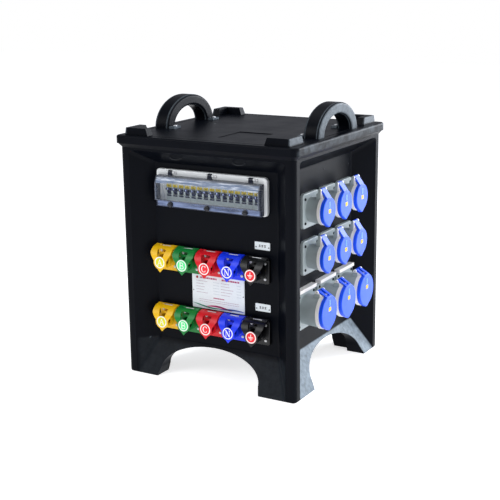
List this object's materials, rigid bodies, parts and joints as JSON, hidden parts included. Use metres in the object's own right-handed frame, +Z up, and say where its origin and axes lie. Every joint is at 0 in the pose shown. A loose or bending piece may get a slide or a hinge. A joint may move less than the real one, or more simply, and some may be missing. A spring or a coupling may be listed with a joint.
{
  "type": "portable power distribution box",
  "caption": "Free-standing black rubber box with arched feet and handles, a breaker window, coloured single-pole connectors with flip covers, and capped blue industrial sockets.",
  "frame": {"origin": "on the floor, in the middle of the whole object's footprint", "axes": "+Z up; the breaker window and connectors look along -Y, the industrial sockets along +X"},
  "size_m": [0.5232, 0.5, 0.696],
  "materials": {
    "black_rubber": "moulded, slight sheen",
    "plate_black": "powder coated",
    "steel": "plain",
    "handle_rubber": "moulded",
    "white_plastic": "moulded",
    "zinc_rail": "zinc plated",
    "breaker_white": "moulded",
    "label_white": "printed sheet",
    "copper": "bare copper",
    "clear_plastic": "clear polycarbonate",
    "latch_dark": "moulded",
    "toggle_blue": "moulded",
    "connector_yellow": "moulded",
    "connector_green": "moulded",
    "connector_red": "moulded",
    "connector_blue": "moulded",
    "connector_black": "moulded",
    "brass": "turned",
    "socket_grey": "moulded",
    "socket_blue": "moulded"
  },
  "bodies": {
    "root": {"housing": "black_rubber", "bottom_plate": "plate_black", "m6_screws": "steel", "m4_screws": "steel", "handle_left": "handle_rubber", "handle_right": "handle_rubber", "window_frame": "white_plastic", "din_rail": "zinc_rail", "breaker_bodies": "breaker_white", "label_plates": "label_white", "busbars": "copper", "connector_bodies_yellow": "connector_yellow", "connector_bodies_green": "connector_green", "connector_bodies_red": "connector_red", "connector_bodies_blue": "connector_blue", "connector_bodies_black": "connector_black", "connector_contacts": "brass", "socket_bodies_16a": "socket_grey", "socket_bodies_32a": "socket_grey", "socket_carriers": "socket_blue", "socket_contacts": "brass", "hinge_pins": "steel"},
    "window_cover": {"window_cover": "clear_plastic"},
    "window_latch_1": {"window_latch_1": "latch_dark"},
    "window_latch_2": {"window_latch_2": "latch_dark"},
    "window_latch_3": {"window_latch_3": "latch_dark"},
    "toggle_01": {"toggle_01": "toggle_blue"},
    "toggle_02": {"toggle_02": "toggle_blue"},
    "toggle_03": {"toggle_03": "toggle_blue"},
    "toggle_04": {"toggle_04": "toggle_blue"},
    "toggle_05": {"toggle_05": "toggle_blue"},
    "toggle_06": {"toggle_06": "toggle_blue"},
    "toggle_07": {"toggle_07": "toggle_blue"},
    "toggle_08": {"toggle_08": "toggle_blue"},
    "toggle_09": {"toggle_09": "toggle_blue"},
    "toggle_10": {"toggle_10": "toggle_blue"},
    "toggle_11": {"toggle_11": "toggle_blue"},
    "toggle_12": {"toggle_12": "toggle_blue"},
    "toggle_13": {"toggle_13": "toggle_blue"},
    "toggle_14": {"toggle_14": "toggle_blue"},
    "toggle_15": {"toggle_15": "toggle_blue"},
    "cover_upper_yellow": {"cover_upper_yellow": "connector_yellow"},
    "cover_lower_yellow": {"cover_lower_yellow": "connector_yellow"},
    "cover_upper_green": {"cover_upper_green": "connector_green"},
    "cover_lower_green": {"cover_lower_green": "connector_green"},
    "cover_upper_red": {"cover_upper_red": "connector_red"},
    "cover_lower_red": {"cover_lower_red": "connector_red"},
    "cover_upper_blue": {"cover_upper_blue": "connector_blue"},
    "cover_lower_blue": {"cover_lower_blue": "connector_blue"},
    "cover_upper_black": {"cover_upper_black": "connector_black"},
    "cover_lower_black": {"cover_lower_black": "connector_black"},
    "lid_16a_1": {"lid_16a_1": "socket_blue"},
    "lid_16a_2": {"lid_16a_2": "socket_blue"},
    "lid_16a_3": {"lid_16a_3": "socket_blue"},
    "lid_16a_4": {"lid_16a_4": "socket_blue"},
    "lid_16a_5": {"lid_16a_5": "socket_blue"},
    "lid_16a_6": {"lid_16a_6": "socket_blue"},
    "lid_32a_1": {"lid_32a_1": "socket_blue"},
    "lid_32a_2": {"lid_32a_2": "socket_blue"},
    "lid_32a_3": {"lid_32a_3": "socket_blue"}
  },
  "joints": [
    {"name": "window_hinge", "type": "hinge", "parent": "root", "child": "window_cover", "pos_m": [-0.01455, -0.199, 0.529], "axis": [-1, 0, 0], "range_deg": [0, 105]},
    {"name": "latch_1_turn", "type": "hinge", "parent": "window_cover", "child": "window_latch_1", "pos_m": [-0.12155, -0.215, 0.451], "axis": [0, -1, 0], "range_deg": [0, 90]},
    {"name": "latch_2_turn", "type": "hinge", "parent": "window_cover", "child": "window_latch_2", "pos_m": [-0.01455, -0.215, 0.451], "axis": [0, -1, 0], "range_deg": [0, 90]},
    {"name": "latch_3_turn", "type": "hinge", "parent": "window_cover", "child": "window_latch_3", "pos_m": [0.09245, -0.215, 0.451], "axis": [0, -1, 0], "range_deg": [0, 90]},
    {"name": "toggle_01_throw", "type": "hinge", "parent": "root", "child": "toggle_01", "pos_m": [-0.14055, -0.184, 0.479], "axis": [1, 0, 0], "range_deg": [0, 52]},
    {"name": "toggle_02_throw", "type": "hinge", "parent": "root", "child": "toggle_02", "pos_m": [-0.12255, -0.184, 0.479], "axis": [1, 0, 0], "range_deg": [0, 52]},
    {"name": "toggle_03_throw", "type": "hinge", "parent": "root", "child": "toggle_03", "pos_m": [-0.10455, -0.184, 0.479], "axis": [1, 0, 0], "range_deg": [0, 52]},
    {"name": "toggle_04_throw", "type": "hinge", "parent": "root", "child": "toggle_04", "pos_m": [-0.08655, -0.184, 0.479], "axis": [1, 0, 0], "range_deg": [0, 52]},
    {"name": "toggle_05_throw", "type": "hinge", "parent": "root", "child": "toggle_05", "pos_m": [-0.06855, -0.184, 0.479], "axis": [1, 0, 0], "range_deg": [0, 52]},
    {"name": "toggle_06_throw", "type": "hinge", "parent": "root", "child": "toggle_06", "pos_m": [-0.05055, -0.184, 0.479], "axis": [1, 0, 0], "range_deg": [0, 52]},
    {"name": "toggle_07_throw", "type": "hinge", "parent": "root", "child": "toggle_07", "pos_m": [-0.03255, -0.184, 0.479], "axis": [1, 0, 0], "range_deg": [0, 52]},
    {"name": "toggle_08_throw", "type": "hinge", "parent": "root", "child": "toggle_08", "pos_m": [-0.01455, -0.184, 0.479], "axis": [1, 0, 0], "range_deg": [0, 52]},
    {"name": "toggle_09_throw", "type": "hinge", "parent": "root", "child": "toggle_09", "pos_m": [0.00345, -0.184, 0.479], "axis": [1, 0, 0], "range_deg": [0, 52]},
    {"name": "toggle_10_throw", "type": "hinge", "parent": "root", "child": "toggle_10", "pos_m": [0.02145, -0.184, 0.479], "axis": [1, 0, 0], "range_deg": [0, 52]},
    {"name": "toggle_11_throw", "type": "hinge", "parent": "root", "child": "toggle_11", "pos_m": [0.03945, -0.184, 0.479], "axis": [1, 0, 0], "range_deg": [0, 52]},
    {"name": "toggle_12_throw", "type": "hinge", "parent": "root", "child": "toggle_12", "pos_m": [0.05745, -0.184, 0.479], "axis": [1, 0, 0], "range_deg": [0, 52]},
    {"name": "toggle_13_throw", "type": "hinge", "parent": "root", "child": "toggle_13", "pos_m": [0.07545, -0.184, 0.479], "axis": [1, 0, 0], "range_deg": [0, 52]},
    {"name": "toggle_14_throw", "type": "hinge", "parent": "root", "child": "toggle_14", "pos_m": [0.09345, -0.184, 0.479], "axis": [1, 0, 0], "range_deg": [0, 52]},
    {"name": "toggle_15_throw", "type": "hinge", "parent": "root", "child": "toggle_15", "pos_m": [0.11145, -0.184, 0.479], "axis": [1, 0, 0], "range_deg": [0, 52]},
    {"name": "cover_upper_yellow_flip", "type": "hinge", "parent": "root", "child": "cover_upper_yellow", "pos_m": [-0.14515, -0.203, 0.3405], "axis": [-1, 0, 0], "range_deg": [0, 100], "stiffness_Nm_per_rad": 0.015, "springref_deg": -45.84},
    {"name": "cover_lower_yellow_flip", "type": "hinge", "parent": "root", "child": "cover_lower_yellow", "pos_m": [-0.14515, -0.203, 0.185], "axis": [-1, 0, 0], "range_deg": [0, 100], "stiffness_Nm_per_rad": 0.015, "springref_deg": -45.84},
    {"name": "cover_upper_green_flip", "type": "hinge", "parent": "root", "child": "cover_upper_green", "pos_m": [-0.07985, -0.203, 0.3405], "axis": [-1, 0, 0], "range_deg": [0, 100], "stiffness_Nm_per_rad": 0.015, "springref_deg": -45.84},
    {"name": "cover_lower_green_flip", "type": "hinge", "parent": "root", "child": "cover_lower_green", "pos_m": [-0.07985, -0.203, 0.185], "axis": [-1, 0, 0], "range_deg": [0, 100], "stiffness_Nm_per_rad": 0.015, "springref_deg": -45.84},
    {"name": "cover_upper_red_flip", "type": "hinge", "parent": "root", "child": "cover_upper_red", "pos_m": [-0.01455, -0.203, 0.3405], "axis": [-1, 0, 0], "range_deg": [0, 100], "stiffness_Nm_per_rad": 0.015, "springref_deg": -45.84},
    {"name": "cover_lower_red_flip", "type": "hinge", "parent": "root", "child": "cover_lower_red", "pos_m": [-0.01455, -0.203, 0.185], "axis": [-1, 0, 0], "range_deg": [0, 100], "stiffness_Nm_per_rad": 0.015, "springref_deg": -45.84},
    {"name": "cover_upper_blue_flip", "type": "hinge", "parent": "root", "child": "cover_upper_blue", "pos_m": [0.05075, -0.203, 0.3405], "axis": [-1, 0, 0], "range_deg": [0, 100], "stiffness_Nm_per_rad": 0.015, "springref_deg": -45.84},
    {"name": "cover_lower_blue_flip", "type": "hinge", "parent": "root", "child": "cover_lower_blue", "pos_m": [0.05075, -0.203, 0.185], "axis": [-1, 0, 0], "range_deg": [0, 100], "stiffness_Nm_per_rad": 0.015, "springref_deg": -45.84},
    {"name": "cover_upper_black_flip", "type": "hinge", "parent": "root", "child": "cover_upper_black", "pos_m": [0.11605, -0.203, 0.3405], "axis": [-1, 0, 0], "range_deg": [0, 100], "stiffness_Nm_per_rad": 0.015, "springref_deg": -45.84},
    {"name": "cover_lower_black_flip", "type": "hinge", "parent": "root", "child": "cover_lower_black", "pos_m": [0.11605, -0.203, 0.185], "axis": [-1, 0, 0], "range_deg": [0, 100], "stiffness_Nm_per_rad": 0.015, "springref_deg": -45.84},
    {"name": "lid_16a_1_flip", "type": "hinge", "parent": "root", "child": "lid_16a_1", "pos_m": [0.22645, -0.075, 0.494], "axis": [0, -1, 0], "range_deg": [0, 100], "stiffness_Nm_per_rad": 0.03, "springref_deg": -45.84},
    {"name": "lid_16a_2_flip", "type": "hinge", "parent": "root", "child": "lid_16a_2", "pos_m": [0.22645, 0.02, 0.494], "axis": [0, -1, 0], "range_deg": [0, 100], "stiffness_Nm_per_rad": 0.03, "springref_deg": -45.84},
    {"name": "lid_16a_3_flip", "type": "hinge", "parent": "root", "child": "lid_16a_3", "pos_m": [0.22645, 0.115, 0.494], "axis": [0, -1, 0], "range_deg": [0, 100], "stiffness_Nm_per_rad": 0.03, "springref_deg": -45.84},
    {"name": "lid_16a_4_flip", "type": "hinge", "parent": "root", "child": "lid_16a_4", "pos_m": [0.22645, -0.075, 0.377], "axis": [0, -1, 0], "range_deg": [0, 72], "stiffness_Nm_per_rad": 0.03, "springref_deg": -45.84},
    {"name": "lid_16a_5_flip", "type": "hinge", "parent": "root", "child": "lid_16a_5", "pos_m": [0.22645, 0.02, 0.377], "axis": [0, -1, 0], "range_deg": [0, 72], "stiffness_Nm_per_rad": 0.03, "springref_deg": -45.84},
    {"name": "lid_16a_6_flip", "type": "hinge", "parent": "root", "child": "lid_16a_6", "pos_m": [0.22645, 0.115, 0.377], "axis": [0, -1, 0], "range_deg": [0, 72], "stiffness_Nm_per_rad": 0.03, "springref_deg": -45.84},
    {"name": "lid_32a_1_flip", "type": "hinge", "parent": "root", "child": "lid_32a_1", "pos_m": [0.23445, -0.102, 0.2475], "axis": [0, -1, 0], "range_deg": [0, 100], "stiffness_Nm_per_rad": 0.03, "springref_deg": -45.84},
    {"name": "lid_32a_2_flip", "type": "hinge", "parent": "root", "child": "lid_32a_2", "pos_m": [0.23445, 0.008, 0.2475], "axis": [0, -1, 0], "range_deg": [0, 100], "stiffness_Nm_per_rad": 0.03, "springref_deg": -45.84},
    {"name": "lid_32a_3_flip", "type": "hinge", "parent": "root", "child": "lid_32a_3", "pos_m": [0.23445, 0.118, 0.2475], "axis": [0, -1, 0], "range_deg": [0, 100], "stiffness_Nm_per_rad": 0.03, "springref_deg": -45.84}
  ]
}
